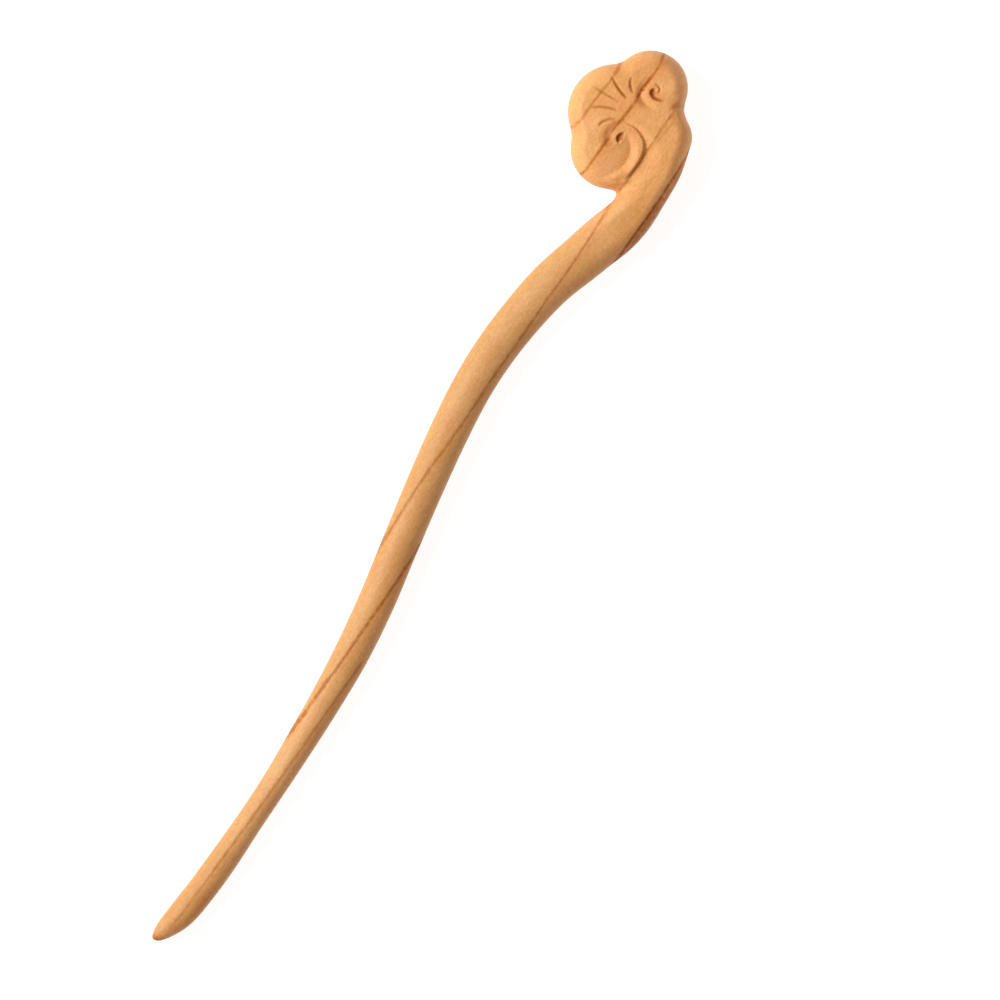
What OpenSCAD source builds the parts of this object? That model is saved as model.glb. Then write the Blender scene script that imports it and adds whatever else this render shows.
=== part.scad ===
// Carved wooden hair stick in one piece: a slim, gently bowed round shaft with a blunt
// tip, widening through a neck into a flat-backed head carved as a three-lobed cloud.
// The face of the head carries a large scroll, a small scroll and a fan of five veins.
// Millimetres. +X runs from the tip to the head, +Z comes out of the carved face, and
// the flat back of the head and the underside of the shaft lie on z = 0.

/* [Whole stick] */
// Length from the tip to the far end of the head
stick_length = 180; // [150:1:210]
// Width of the head across its lobes
head_width = 24; // [21:0.5:27]
// Thickness of the head from its flat back to the middle of the face
head_thick = 9; // [8:0.1:11]

/* [Shaft] */
// Width of the shaft where it runs into the head
neck_wide = 8.6; // [7.6:0.1:9.6]
// Thickness of the shaft where it runs into the head
neck_thick = 7.6; // [6.6:0.1:8.4]
// Distance across the stick between the two bends of the shaft
bow_wide = 5.28; // [2.64:0.24:6.24]
// Length of the rounded point
tip_round = 9; // [6:0.5:14]

/* [Head outline] */
// How far in from the outline the rounding of the rim reaches
rim_round = 4.2; // [3.4:0.1:4.6]
// Length over which two lobes melt together where they meet
lobe_blend = 1.4; // [0.6:0.1:2]
// Length over which the neck melts into the lobes
neck_blend = 3; // [2:0.1:3.6]

/* [Large scroll] */
// Depth of the groove that runs round the large scroll
groove_deep = 1.2; // [0.6:0.05:1.6]
// Width of that groove where it is widest
groove_wide = 1.5; // [1:0.05:2]
// Depth of the hollow inside the large scroll
dish_deep = 0.6; // [0.3:0.05:1]
// Width of that hollow
dish_wide = 4.6; // [3.6:0.1:5]
// Depth of the hole where the large scroll starts
eye_deep = 1.5; // [0.8:0.1:2]
// Width of that hole
eye_wide = 1.9; // [1.2:0.1:2.2]

/* [Small scroll] */
// Depth of the comma cut of the small scroll
comma_deep = 1.1; // [0.6:0.1:1.5]
// Width of the head of the comma
comma_wide = 1.4; // [0.9:0.1:1.8]
// Depth of the soft valley round the back of each scroll
valley_deep = 0.4; // [0.2:0.05:0.6]
// Width of that valley
valley_wide = 2.4; // [1.6:0.1:3]

/* [Veins and rim] */
// Width of the widest vein
vein_wide = 0.7; // [0.4:0.05:1]
// Depth of the deepest vein
vein_deep = 0.45; // [0.25:0.05:0.7]
// Depth of the cut in the rim between the small scroll and the neck
rim_cut_deep = 0.7; // [0.4:0.05:1.2]
// Width of that cut
rim_cut_wide = 0.9; // [0.6:0.05:1.2]

/* [Hidden] */

// Path of the shaft. Columns: share of the way from the tip to the neck, sideways
// offset as a share of head_width, width of neck_wide, thickness of neck_thick
shaft_rows = [
    [0.000,  0.052, 0.560, 0.640],
    [0.022,  0.006, 0.575, 0.645],
    [0.040, -0.030, 0.585, 0.650],
    [0.068, -0.062, 0.588, 0.655],
    [0.114, -0.096, 0.592, 0.662],
    [0.180, -0.127, 0.545, 0.655],
    [0.234, -0.148, 0.556, 0.660],
    [0.289, -0.159, 0.610, 0.690],
    [0.342, -0.165, 0.660, 0.725],
    [0.409, -0.159, 0.724, 0.765],
    [0.477, -0.126, 0.756, 0.790],
    [0.544, -0.072, 0.762, 0.800],
    [0.624, -0.010, 0.786, 0.820],
    [0.691,  0.032, 0.806, 0.835],
    [0.752,  0.053, 0.826, 0.850],
    [0.805,  0.040, 0.854, 0.870],
    [0.859, -0.007, 0.884, 0.900],
    [0.907, -0.074, 0.926, 0.930],
    [0.953, -0.178, 0.975, 0.965]];

// Path of the neck inside the head. Columns: distance back from the far end of the
// head as a share of head_width, then as for the shaft
neck_rows = [
    [1.458, -0.222, 0.996, 0.985],
    [1.333, -0.271, 1.012, 1.000],
    [1.167, -0.323, 0.935, 1.000],
    [0.958, -0.354, 0.806, 1.000],
    [0.750, -0.311, 1.040, 1.000],
    [0.542, -0.245, 1.186, 1.000]];

// The three lobes. Columns: distance back from the far end, sideways offset and
// radius, all as shares of head_width
lobe_rows = [
    [0.272, 0.017, 0.274],
    [0.552, 0.151, 0.350],
    [0.810, 0.048, 0.290]];

// Sections through the head fan out from a core line. Columns: distance back from the
// far end and sideways offset of the core as shares of head_width, then the directions
// in degrees in which the section runs to the left and to the right outline
fan_rows = [
    [1.229, -0.300,  80, -102],
    [1.125, -0.325,  98,  -99],
    [1.042, -0.325, 112,  -97],
    [0.975, -0.304, 124,  -96],
    [0.933, -0.279, 131,  -95],
    [0.900, -0.246, 139,  -94],
    [0.871, -0.204, 144,  -93],
    [0.842, -0.162, 141,  -92],
    [0.804, -0.112, 129,  -90],
    [0.729, -0.058, 117,  -87],
    [0.667, -0.025, 110,  -83],
    [0.604,  0.000, 102,  -76],
    [0.542,  0.017,  90,  -66],
    [0.458,  0.021,  77,  -58],
    [0.375,  0.021,  65,  -58],
    [0.271,  0.017,  58,  -58],
    [0.154,  0.015,  65,  -65],
    [0.070,  0.014,  78,  -78],
    [0.025,  0.014,  84,  -84],
    [0.005,  0.014,  88,  -88]];

// Carved lines. Columns: distance back from the far end and sideways offset as shares
// of head_width, then shares of the depth and of the width that the line is cut with
groove_rows = [
    [0.612,  0.083, 0.15, 0.25],
    [0.596,  0.038, 0.35, 0.40],
    [0.590, -0.017, 0.50, 0.55],
    [0.604, -0.079, 0.70, 0.75],
    [0.642, -0.133, 0.90, 0.95],
    [0.700, -0.169, 1.00, 1.00],
    [0.779, -0.184, 1.00, 1.00],
    [0.862, -0.178, 0.85, 0.80],
    [0.933, -0.160, 0.45, 0.50],
    [0.983, -0.142, 0.10, 0.20]];
dish_rows = [
    [0.733,  0.000, 0.75, 0.70],
    [0.800,  0.000, 1.00, 1.00],
    [0.879,  0.012, 1.00, 1.00],
    [0.950,  0.042, 0.70, 0.95]];
dish_foot_rows = [
    [0.662, -0.008, 0.40, 0.60],
    [0.704, -0.058, 0.70, 0.90],
    [0.762, -0.086, 0.75, 1.00],
    [0.829, -0.090, 0.75, 1.00],
    [0.912, -0.072, 0.60, 0.80],
    [0.983, -0.040, 0.25, 0.50]];
eye_rows = [
    [0.742,  0.024, 0.60, 0.50],
    [0.712,  0.037, 1.00, 1.00],
    [0.679,  0.028, 0.75, 0.65]];
hook_valley_rows = [
    [0.808,  0.058, 0.50, 0.70],
    [0.783,  0.104, 0.95, 0.95],
    [0.729,  0.133, 1.00, 1.00],
    [0.667,  0.129, 0.70, 0.80],
    [0.621,  0.096, 0.35, 0.50]];
comma_rows = [
    [0.271, -0.012, 0.65, 0.65],
    [0.296, -0.006, 1.00, 1.00],
    [0.321, -0.033, 0.80, 0.70],
    [0.323, -0.083, 0.55, 0.45],
    [0.308, -0.127, 0.15, 0.20]];
curl_rows = [
    [0.238,  0.008, 0.20, 0.22],
    [0.230, -0.027, 0.40, 0.40],
    [0.248, -0.057, 0.45, 0.40],
    [0.279, -0.052, 0.25, 0.28]];
comma_valley_rows = [
    [0.404, -0.025, 0.35, 0.60],
    [0.392,  0.042, 0.80, 0.90],
    [0.354,  0.079, 0.80, 1.00],
    [0.292,  0.083, 0.60, 0.90],
    [0.229,  0.069, 0.25, 0.60]];
vein_rows = [
    [[0.283,  0.177, 0.40, 0.50], [0.317,  0.172, 0.85, 0.85],
     [0.354,  0.142, 0.90, 0.85], [0.379,  0.104, 0.40, 0.50]],
    [[0.346,  0.300, 0.50, 0.55], [0.383,  0.246, 0.95, 0.90],
     [0.412,  0.188, 1.00, 1.00], [0.429,  0.133, 0.50, 0.55]],
    [[0.475,  0.350, 0.45, 0.70], [0.479,  0.290, 0.60, 1.00],
     [0.479,  0.230, 0.55, 0.90], [0.483,  0.171, 0.30, 0.50]],
    [[0.617,  0.321, 0.40, 0.50], [0.583,  0.262, 0.75, 0.75],
     [0.554,  0.208, 0.80, 0.80], [0.538,  0.146, 0.40, 0.45]],
    [[0.704,  0.206, 0.45, 0.55], [0.667,  0.192, 0.90, 0.85],
     [0.629,  0.167, 0.80, 0.80], [0.600,  0.127, 0.40, 0.50]]];
rim_cut_rows = [
    [0.280, -0.250, 1.00, 1.00],
    [0.304, -0.224, 0.90, 0.80],
    [0.344, -0.190, 0.25, 0.35]];

// Sides and steps of the cutters, and how they stand
cutter_sides = 10;
bowl_steps = 3;        // steps from the middle of a round cutter to its edge
line_steps = 3;        // steps between two rows of a carved line
cutter_point = 0.04;   // radius at the very point of a pointed cutter
cutter_over = 1.6;     // height of a cutter, as a multiple of the depth it cuts
groove_lean = 0.45;    // how far the groove's outer wall lies back, as a share of depth
foot_wide = 0.16;      // width of the line at the foot of the hollow, of dish_wide
slice = 0.01;          // thickness of the discs that a pointed cutter is hulled from

// Counts of points in a section and of sections along the stick
face_points = 12;      // points from the rim to the core on the face, each side
back_points = 7;       // points from the rim to the core on the back, each side
tip_sections = 6;
shaft_sections = 17;
fan_steps = 3;         // sections for each row of the fan
neck_pieces = 36;      // straight pieces of the neck line that depths are measured from
walk_steps = 60;       // most steps of a walk from the core to the outline
walk_near = 0.0005;    // distance from the outline at which a walk ends
look = 0.5;            // distance to each side over which the shaft's heading is read

// Where things lie along the head, as shares of head_width back from its far end
neck_back = 1.292;
neck_line_back = 1.692;
neck_line_end = 0.542;
crown_back = 0.563;
crown_side = 0.02;
crown_reach = 1.08;
bow_rows = 0.22;       // the bow that the rows of the shaft have
bow_fade = 0.6;        // share of the shaft after which the bow is handed to the head

end_x = stick_length / 2;
tip_x = -stick_length / 2;
neck_x = end_x - neck_back * head_width;
edge_z = neck_thick / 2;

function place(back, side) = [end_x - back * head_width, side * head_width];

// The rows are drawn out sideways to the bow that is asked for. This fades out toward
// the neck, so that the head stays where it is
function bow_at(share) =
    1 + (bow_wide / (bow_rows * head_width) - 1)
        * (share < bow_fade ? 1 : (1 - share) / (1 - bow_fade));

// The whole path: distance along the stick, sideways offset, width and thickness
path = concat(
    [for (r = shaft_rows)
        [tip_x + r[0] * (neck_x - tip_x), r[1] * head_width * bow_at(r[0]),
         r[2] * neck_wide, r[3] * neck_thick]],
    [for (r = neck_rows)
        [end_x - r[0] * head_width, r[1] * head_width,
         r[2] * neck_wide, r[3] * neck_thick]]);

// Smooth curve through the rows of the path, read at a distance x along the stick
function slope_at(i, c) =
    let (a = path[max(i - 1, 0)], b = path[min(i + 1, len(path) - 1)])
    (b[c] - a[c]) / (b[0] - a[0]);
function row_before(x, i = 0) =
    i >= len(path) - 2 || x < path[i + 1][0] ? i : row_before(x, i + 1);
function path_at(x, c) =
    let (i = row_before(x), p = path[i], q = path[i + 1], w = q[0] - p[0],
         s = min(max((x - p[0]) / w, 0), 1), s2 = s * s, s3 = s2 * s)
    (2 * s3 - 3 * s2 + 1) * p[c] + (s3 - 2 * s2 + s) * w * slope_at(i, c)
    + (3 * s2 - 2 * s3) * q[c] + (s3 - s2) * w * slope_at(i + 1, c);
function heading(x) = atan2(path_at(x + look, 1) - path_at(x - look, 1), 2 * look);

// Distance outside the plan outline of the head, less than zero inside it
neck_from = end_x - neck_line_back * head_width;
neck_to = end_x - neck_line_end * head_width;
neck_line = [for (i = [0:neck_pieces])
    let (x = neck_from + (neck_to - neck_from) * i / neck_pieces)
    [x, path_at(x, 1), path_at(x, 2) / 2]];
function gap_to_piece(p, a, b) =
    let (u = [b[0] - a[0], b[1] - a[1]], v = [p[0] - a[0], p[1] - a[1]],
         s = min(max((u * v) / (u * u), 0), 1))
    norm(v - s * u) - a[2] - s * (b[2] - a[2]);
function gap_to_neck(p) =
    min([for (i = [0:neck_pieces - 1]) gap_to_piece(p, neck_line[i], neck_line[i + 1])]);
function gap_to_lobe(p, r) = norm(p - place(r[0], r[1])) - r[2] * head_width;
function melt(a, b, k) =
    let (h = min(max(0.5 + (b - a) / (2 * k), 0), 1))
    b * (1 - h) + a * h - k * h * (1 - h);
function gap_to_outline(p) =
    let (tip_lobes = melt(gap_to_lobe(p, lobe_rows[0]), gap_to_lobe(p, lobe_rows[1]),
                          lobe_blend),
         lobes = melt(tip_lobes, gap_to_lobe(p, lobe_rows[2]), lobe_blend))
    melt(lobes, gap_to_neck(p), neck_blend);

// Heights of the face and of the back at a given depth inside the outline
function bulge(depth, reach) = sqrt(1 - pow(1 - min(depth / reach, 1), 2));
function crown(p) =
    let (r = norm(p - place(crown_back, crown_side)) / (crown_reach * head_width))
    r < 1 ? (head_thick - neck_thick) * pow(1 - r * r, 2) : 0;
function face_z(p, depth, thick, reach) =
    thick / 2 + (thick / 2 + crown(p)) * bulge(depth, reach);
function back_z(depth, thick, reach) = thick / 2 * (1 - bulge(depth, reach));
function face_over(p) = face_z(p, max(0, -gap_to_outline(p)), neck_thick, rim_round);

// A section is [core, left arm, right arm, thickness, reach of the rounding, whether
// depths are measured from the head's outline]. Its points run from the left outline
// over the face to the right outline and home under the back
function station(j, n) = 1 - cos(90 * j / n);
function arm_point(sec, arm, j, n) = sec[0] + arm * (1 - station(j, n));
function depth_at(sec, p, arm, j, n) =
    j == 0 ? 0 : sec[5] ? max(0, -gap_to_outline(p)) : norm(arm) * station(j, n);
function face_point(sec, arm, j) =
    let (p = arm_point(sec, arm, j, face_points),
         d = depth_at(sec, p, arm, j, face_points))
    [p[0], p[1], face_z(p, d, sec[3], sec[4])];
function back_point(sec, arm, j) =
    let (p = arm_point(sec, arm, j, back_points),
         d = depth_at(sec, p, arm, j, back_points))
    [p[0], p[1], back_z(d, sec[3], sec[4])];
function ring(sec) = concat(
    [for (j = [0:face_points]) face_point(sec, sec[1], j)],
    [for (j = [face_points - 1:-1:0]) face_point(sec, sec[2], j)],
    [for (j = [1:back_points]) back_point(sec, sec[2], j)],
    [for (j = [back_points - 1:-1:1]) back_point(sec, sec[1], j)]);

// A section across the shaft, drawn in toward the tip over the rounded point
function tip_share(x) = sqrt(1 - pow(1 - min((x - tip_x) / tip_round, 1), 2));
function shaft_section(x) =
    let (a = heading(x), half = path_at(x, 2) / 2 * tip_share(x),
         side = [-sin(a), cos(a)])
    [[x, path_at(x, 1)], side * half, -side * half, path_at(x, 3), half, false];
function shaft_ring(x) =
    let (sec = shaft_section(x), mid = sec[3] / 2)
    [for (p = ring(sec)) [p[0], p[1], mid + (p[2] - mid) * tip_share(x)]];

// A section through the head: a walk along each arm finds the outline
function walk_out(p, way, far = 0, n = walk_steps) =
    let (left = -gap_to_outline(p + way * far))
    n == 0 || left < walk_near ? far : walk_out(p, way, far + left, n - 1);
function fan_at(s, c) = lookup(s, [for (i = [0:len(fan_rows) - 1]) [i, fan_rows[i][c]]]);
function head_section(s) =
    let (core = place(fan_at(s, 0), fan_at(s, 1)),
         left = [cos(fan_at(s, 2)), sin(fan_at(s, 2))],
         right = [cos(fan_at(s, 3)), sin(fan_at(s, 3))])
    [core, left * walk_out(core, left), right * walk_out(core, right), neck_thick,
     rim_round, true];

tip_stops = [for (i = [1:tip_sections]) tip_x + tip_round * station(i, tip_sections)];
shaft_from = tip_x + tip_round;
shaft_stops = [for (i = [1:shaft_sections])
    shaft_from + (neck_x - shaft_from) * i / shaft_sections];
fan_stops = [for (i = [0:(len(fan_rows) - 1) * fan_steps]) i / fan_steps];
rings = concat([for (x = concat(tip_stops, shaft_stops)) shaft_ring(x)],
               [for (s = fan_stops) ring(head_section(s))]);
tip_point = [tip_x, path_at(tip_x, 1), path_at(tip_x, 3) / 2];
end_point = [end_x, lobe_rows[0][1] * head_width, edge_z];

// The uncut blank: a skin over all the sections, closed to a point at each end
module blank() {
    n = len(rings[0]);
    last = (len(rings) - 1) * n;
    tip = last + n;
    end = tip + 1;
    skin = [for (i = [0:n:last - n]) for (j = [0:n - 1])
        let (k = (j + 1) % n)
        each [[i + j, i + n + j, i + n + k], [i + j, i + n + k, i + k]]];
    tip_skin = [for (j = [0:n - 1]) [tip, j, (j + 1) % n]];
    end_skin = [for (j = [0:n - 1]) [end, last + (j + 1) % n, last + j]];
    polyhedron(points = concat([for (r = rings) each r], [tip_point, end_point]),
               faces = concat(skin, tip_skin, end_skin), convexity = 6);
}

// A carved line read smoothly between its rows
function bend(a, b, c, d, s) =
    0.5 * (2 * b + (c - a) * s + (2 * a - 5 * b + 4 * c - d) * s * s
           + (3 * b - a - 3 * c + d) * s * s * s);
function line_stops(rows) =
    let (last = len(rows) - 1)
    [for (i = [0:last - 1]) for (k = [0:line_steps - (i == last - 1 ? 0 : 1)])
        bend(rows[max(i - 1, 0)], rows[i], rows[i + 1], rows[min(i + 2, last)],
             k / line_steps)];

// A pointed cutter set to its depth below the face, its top leaning to one side
module pointed_cutter(stop, deep, wide, lean) {
    p = place(stop[0], stop[1]);
    d = stop[2] * deep;
    translate([p[0], p[1], face_over(p) - d])
        cylinder(h = slice, r = cutter_point, $fn = cutter_sides);
    translate([p[0], p[1] - lean * d, face_over(p) + (cutter_over - 1) * d])
        cylinder(h = slice, r = stop[3] * wide / 2 * cutter_over, $fn = cutter_sides);
}

module pointed_line(rows, deep, wide, lean = 0) {
    stops = line_stops(rows);
    for (i = [0:len(stops) - 2])
        hull() {
            pointed_cutter(stops[i], deep, wide, lean);
            pointed_cutter(stops[i + 1], deep, wide, lean);
        }
}

// A bowl-shaped cutter that leaves a hollow of the given depth and width
module round_cutter(stop, deep, wide) {
    p = place(stop[0], stop[1]);
    d = stop[2] * deep;
    half = stop[3] * wide / 2;
    r = (half * half + d * d) / (2 * d);
    a = acos(max(0, 1 - cutter_over * d / r));
    arc = [for (i = [0:bowl_steps])
        [r * sin(a * i / bowl_steps), r * (1 - cos(a * i / bowl_steps))]];
    translate([p[0], p[1], face_over(p) - d])
        rotate_extrude($fn = cutter_sides)
            polygon(concat(arc, [[0, r * (1 - cos(a))]]));
}

module round_line(rows, deep, wide) {
    stops = line_stops(rows);
    for (i = [0:len(stops) - 2])
        hull() {
            round_cutter(stops[i], deep, wide);
            round_cutter(stops[i + 1], deep, wide);
        }
}

module large_scroll() {
    pointed_line(groove_rows, groove_deep, groove_wide, groove_lean);
    round_line(dish_rows, dish_deep, dish_wide);
    pointed_line(dish_foot_rows, dish_deep, dish_wide * foot_wide);
    pointed_line(eye_rows, eye_deep, eye_wide);
    round_line(hook_valley_rows, valley_deep, valley_wide);
}

module small_scroll() {
    pointed_line(comma_rows, comma_deep, comma_wide);
    pointed_line(curl_rows, comma_deep, comma_wide);
    round_line(comma_valley_rows, valley_deep, valley_wide);
}

module hair_stick() {
    color([0.87, 0.66, 0.44])
        difference() {
            blank();
            large_scroll();
            small_scroll();
            for (rows = vein_rows) pointed_line(rows, vein_deep, vein_wide);
            pointed_line(rim_cut_rows, rim_cut_deep, rim_cut_wide);
        }
}

hair_stick();
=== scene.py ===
# A carved wooden hair stick, lying on its flat back on a pale table and seen from above.
# Lengths are in metres, and in millimetres where a comment says so. +X runs from the tip
# to the head, and +Z comes out of the carved face.
from functools import reduce

import bpy
import numpy as np
from mathutils import Matrix, Vector


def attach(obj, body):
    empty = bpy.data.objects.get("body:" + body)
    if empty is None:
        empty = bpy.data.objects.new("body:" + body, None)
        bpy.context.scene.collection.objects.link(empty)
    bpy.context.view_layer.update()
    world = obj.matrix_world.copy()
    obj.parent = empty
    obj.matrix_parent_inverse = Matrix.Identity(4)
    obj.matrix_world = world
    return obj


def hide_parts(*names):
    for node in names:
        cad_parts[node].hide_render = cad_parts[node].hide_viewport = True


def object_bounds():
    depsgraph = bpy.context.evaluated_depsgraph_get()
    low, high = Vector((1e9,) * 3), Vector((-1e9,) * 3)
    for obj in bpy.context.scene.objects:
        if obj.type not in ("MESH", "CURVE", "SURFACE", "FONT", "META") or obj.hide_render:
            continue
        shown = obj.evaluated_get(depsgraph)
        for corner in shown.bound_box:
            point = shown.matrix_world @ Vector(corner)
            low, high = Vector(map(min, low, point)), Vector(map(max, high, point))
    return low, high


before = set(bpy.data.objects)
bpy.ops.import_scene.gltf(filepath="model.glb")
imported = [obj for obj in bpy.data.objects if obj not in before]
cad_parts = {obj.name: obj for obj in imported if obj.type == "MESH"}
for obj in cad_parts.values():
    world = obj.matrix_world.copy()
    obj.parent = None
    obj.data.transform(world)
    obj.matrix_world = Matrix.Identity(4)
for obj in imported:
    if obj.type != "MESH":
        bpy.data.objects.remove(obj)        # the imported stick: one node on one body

stick_low, stick_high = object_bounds()

# Sizes of the stick
MM = 0.001
TIP_X = stick_low.x
END_X = stick_high.x
HEAD_THICK = stick_high.z
HEAD_WIDTH = 24 * MM
NECK_WIDE = 8.6 * MM
NECK_THICK = 7.6 * MM
TIP_ROUND = 9 * MM
RIM_ROUND = 4.2 * MM
FACE_ROUND = 2.7 * MM       # the face of the head turns down closer to the edge
FLATTEN_BACK = (1.9, 1.1)   # head widths back between which the round shaft goes over to it
LOBE_BLEND = 1.4 * MM
NECK_BLEND = 3 * MM
FACE_BLEND = 6 * MM         # how far the face is filled up between neck and lobes
FACE_RISE = 0.9 * MM        # over this depth inside the outline that filling sets in
CUT_FADE = 0.4 * MM         # and over this depth the carving does
PATH_LOOK = 0.5 * MM        # how far ahead and back the path is read for its direction
EDGE_Z = NECK_THICK / 2

# Path of the shaft. Columns: share of the way from the tip to the neck, sideways offset
# as a share of the head's width, and width and thickness as shares of the neck's
SHAFT_ROWS = [
    (0.000, 0.052, 0.560, 0.640),
    (0.022, 0.006, 0.575, 0.645),
    (0.040, -0.030, 0.585, 0.650),
    (0.068, -0.062, 0.588, 0.655),
    (0.114, -0.096, 0.592, 0.662),
    (0.180, -0.127, 0.545, 0.655),
    (0.234, -0.148, 0.556, 0.660),
    (0.289, -0.159, 0.610, 0.690),
    (0.342, -0.165, 0.660, 0.725),
    (0.409, -0.159, 0.724, 0.765),
    (0.477, -0.126, 0.756, 0.790),
    (0.544, -0.072, 0.762, 0.800),
    (0.624, -0.010, 0.786, 0.820),
    (0.691, 0.032, 0.806, 0.835),
    (0.752, 0.053, 0.826, 0.850),
    (0.805, 0.040, 0.854, 0.870),
    (0.859, -0.007, 0.884, 0.900),
    (0.907, -0.074, 0.926, 0.930),
    (0.953, -0.178, 0.975, 0.965),
]

# Path of the neck under the head. Columns: distance back from the far end of the head
# as a share of its width, then as for the shaft
NECK_ROWS = [
    (1.458, -0.222, 0.996, 0.985),
    (1.333, -0.271, 1.012, 1.000),
    (1.167, -0.323, 0.935, 1.000),
    (0.958, -0.354, 0.806, 1.000),
    (0.750, -0.311, 1.040, 1.000),
    (0.542, -0.245, 1.186, 1.000),
]

# The three lobes. Columns: distance back from the far end, sideways offset and radius,
# all as shares of the head's width
LOBE_ROWS = [
    (0.272, 0.017, 0.274),
    (0.552, 0.151, 0.350),
    (0.810, 0.048, 0.290),
]

# Sections through the head fan out from a core line. Columns: distance back and sideways
# offset of the core as shares of the head's width, and the directions in degrees in
# which the section runs to its left and to its right edge
FAN_ROWS = [
    (1.292, -0.288, 69, -105),
    (1.229, -0.300, 80, -102),
    (1.125, -0.325, 98, -99),
    (1.042, -0.325, 112, -97),
    (0.975, -0.304, 124, -96),
    (0.933, -0.279, 131, -95),
    (0.900, -0.246, 139, -94),
    (0.871, -0.204, 144, -93),
    (0.842, -0.162, 141, -92),
    (0.804, -0.112, 129, -90),
    (0.729, -0.058, 117, -87),
    (0.667, -0.025, 110, -83),
    (0.604, 0.000, 102, -76),
    (0.542, 0.017, 90, -66),
    (0.458, 0.021, 77, -58),
    (0.375, 0.021, 65, -58),
    (0.271, 0.017, 58, -58),
    (0.137, 0.015, 65, -65),
]

# More places on the head, as shares of its width and, where back, from its far end
NECK_BACK = 1.292           # where the head's sections take over from the shaft's
NECK_LINE_FROM = 1.692      # the stretch of the path that makes the neck's outline
NECK_LINE_TO = 0.542
CROWN_BACK = 0.563          # middle of the crown of the face, and how far it reaches
CROWN_SIDE = 0.02
CROWN_REACH = 1.08
END_TURN = 60               # degrees of the last lobe that its closing sections cover
END_LEAN = 25               # degrees by which their arms lean forward at the start

# Counts of points in a section and of sections along the stick
FACE_POINTS = 112           # from the edge to the core on the face, each side
BACK_POINTS = 14            # from the edge to the core on the back, each side
RIM_SHARE = 1.1             # how far the rim counts for its width when they are spaced
RIM_MOST = 0.8              # share of a short section that the rim may take
TIP_SECTIONS = 16
SHAFT_SECTIONS = 100
FAN_SECTIONS = 300
END_SECTIONS = 26
NECK_PIECES = 60            # straight pieces in the neck's line
WALK_STEPS = 60             # steps in which a section's length is found


class SmoothTable:
    """Rows in the order of their first column, read smoothly between them."""

    def __init__(self, rows):
        self.rows = np.array(rows, float)
        before = np.vstack([self.rows[:1], self.rows[:-1]])
        after = np.vstack([self.rows[1:], self.rows[-1:]])
        self.slopes = (after - before) / (after - before)[:, :1]

    def at(self, place, column):
        """What a column holds at a place in the first one."""
        first = self.rows[:, 0]
        i = np.clip(np.searchsorted(first, place, side="right") - 1, 0, len(first) - 2)
        run = first[i + 1] - first[i]
        s = np.clip((place - first[i]) / run, 0, 1)
        start, end = self.rows[i, column], self.rows[i + 1, column]
        leave, reach = self.slopes[i, column] * run, self.slopes[i + 1, column] * run
        return ((2 * s**3 - 3 * s**2 + 1) * start + (s**3 - 2 * s**2 + s) * leave
                + (3 * s**2 - 2 * s**3) * end + (s**3 - s**2) * reach)


def neck_row(share, side, width, thick):
    """A row of the path in metres, from the shares in which it is written."""
    return share, side * HEAD_WIDTH, width * NECK_WIDE, thick * NECK_THICK


SIDE, WIDTH, THICK = 1, 2, 3    # columns of the path
NECK_X = END_X - NECK_BACK * HEAD_WIDTH
path = SmoothTable(
    [neck_row(TIP_X + share * (NECK_X - TIP_X), *rest) for share, *rest in SHAFT_ROWS]
    + [neck_row(END_X - back * HEAD_WIDTH, *rest) for back, *rest in NECK_ROWS])


def plan(back, side):
    """Points of the head, from shares of its width to metres."""
    return np.stack([END_X - np.asarray(back, float) * HEAD_WIDTH,
                     np.asarray(side, float) * HEAD_WIDTH], -1)


def melt(a, b, reach):
    """The lower of two distances, rounded where they meet."""
    h = np.clip(0.5 + (b - a) / (2 * reach), 0, 1)
    return b * (1 - h) + a * h - reach * h * (1 - h)


def stretches(points, line):
    """For each stretch of a line: the share of the way along it where each point is
    nearest, how far away the point is, and how far it lies to the left of the stretch."""
    for start, end in zip(line, line[1:]):
        run = end - start
        way = points - start
        along = np.clip(way @ run / (run @ run), 0, 1)
        away = np.linalg.norm(way - along[:, None] * run, axis=1)
        left = (run[0] * way[:, 1] - run[1] * way[:, 0]) / np.linalg.norm(run)
        yield along, away, left


def gap_to_neck(points):
    """Distance outside the neck, less than zero inside it."""
    x = np.linspace(END_X - NECK_LINE_FROM * HEAD_WIDTH, END_X - NECK_LINE_TO * HEAD_WIDTH,
                    NECK_PIECES + 1)
    line = np.stack([x, path.at(x, SIDE)], -1)
    half = path.at(x, WIDTH) / 2
    nearest = np.full(len(points), np.inf)
    for (along, away, _), start, end in zip(stretches(points, line), half, half[1:]):
        nearest = np.minimum(nearest, away - start - along * (end - start))
    return nearest


def gap_to_lobes(points):
    """Distance outside the three lobes, less than zero inside them."""
    lobes = [np.linalg.norm(points - plan(back, side), axis=1) - radius * HEAD_WIDTH
             for back, side, radius in LOBE_ROWS]
    return melt(melt(lobes[0], lobes[1], LOBE_BLEND), lobes[2], LOBE_BLEND)


def gap_to_outline(points):
    """Distance outside the plan outline of the head, less than zero inside it."""
    return melt(gap_to_lobes(points), gap_to_neck(points), NECK_BLEND)


def depth_inside(points):
    """Depth inside the outline by which the face is rounded. It is filled up where the
    neck runs under the lobes, so that the face flows on from one to the other."""
    lobes, neck = gap_to_lobes(points), gap_to_neck(points)
    depth = np.clip(-melt(lobes, neck, NECK_BLEND), 0, None)
    filled = np.clip(-melt(lobes, neck, FACE_BLEND), 0, None)
    return depth + (filled - depth) * np.clip(depth / FACE_RISE, 0, 1)


def bulge(depth, reach):
    """Quarter of an ellipse: 0 at the edge and 1 where its rounding ends."""
    return np.sqrt(1 - (1 - np.clip(depth / reach, 0, 1)) ** 2)


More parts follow.
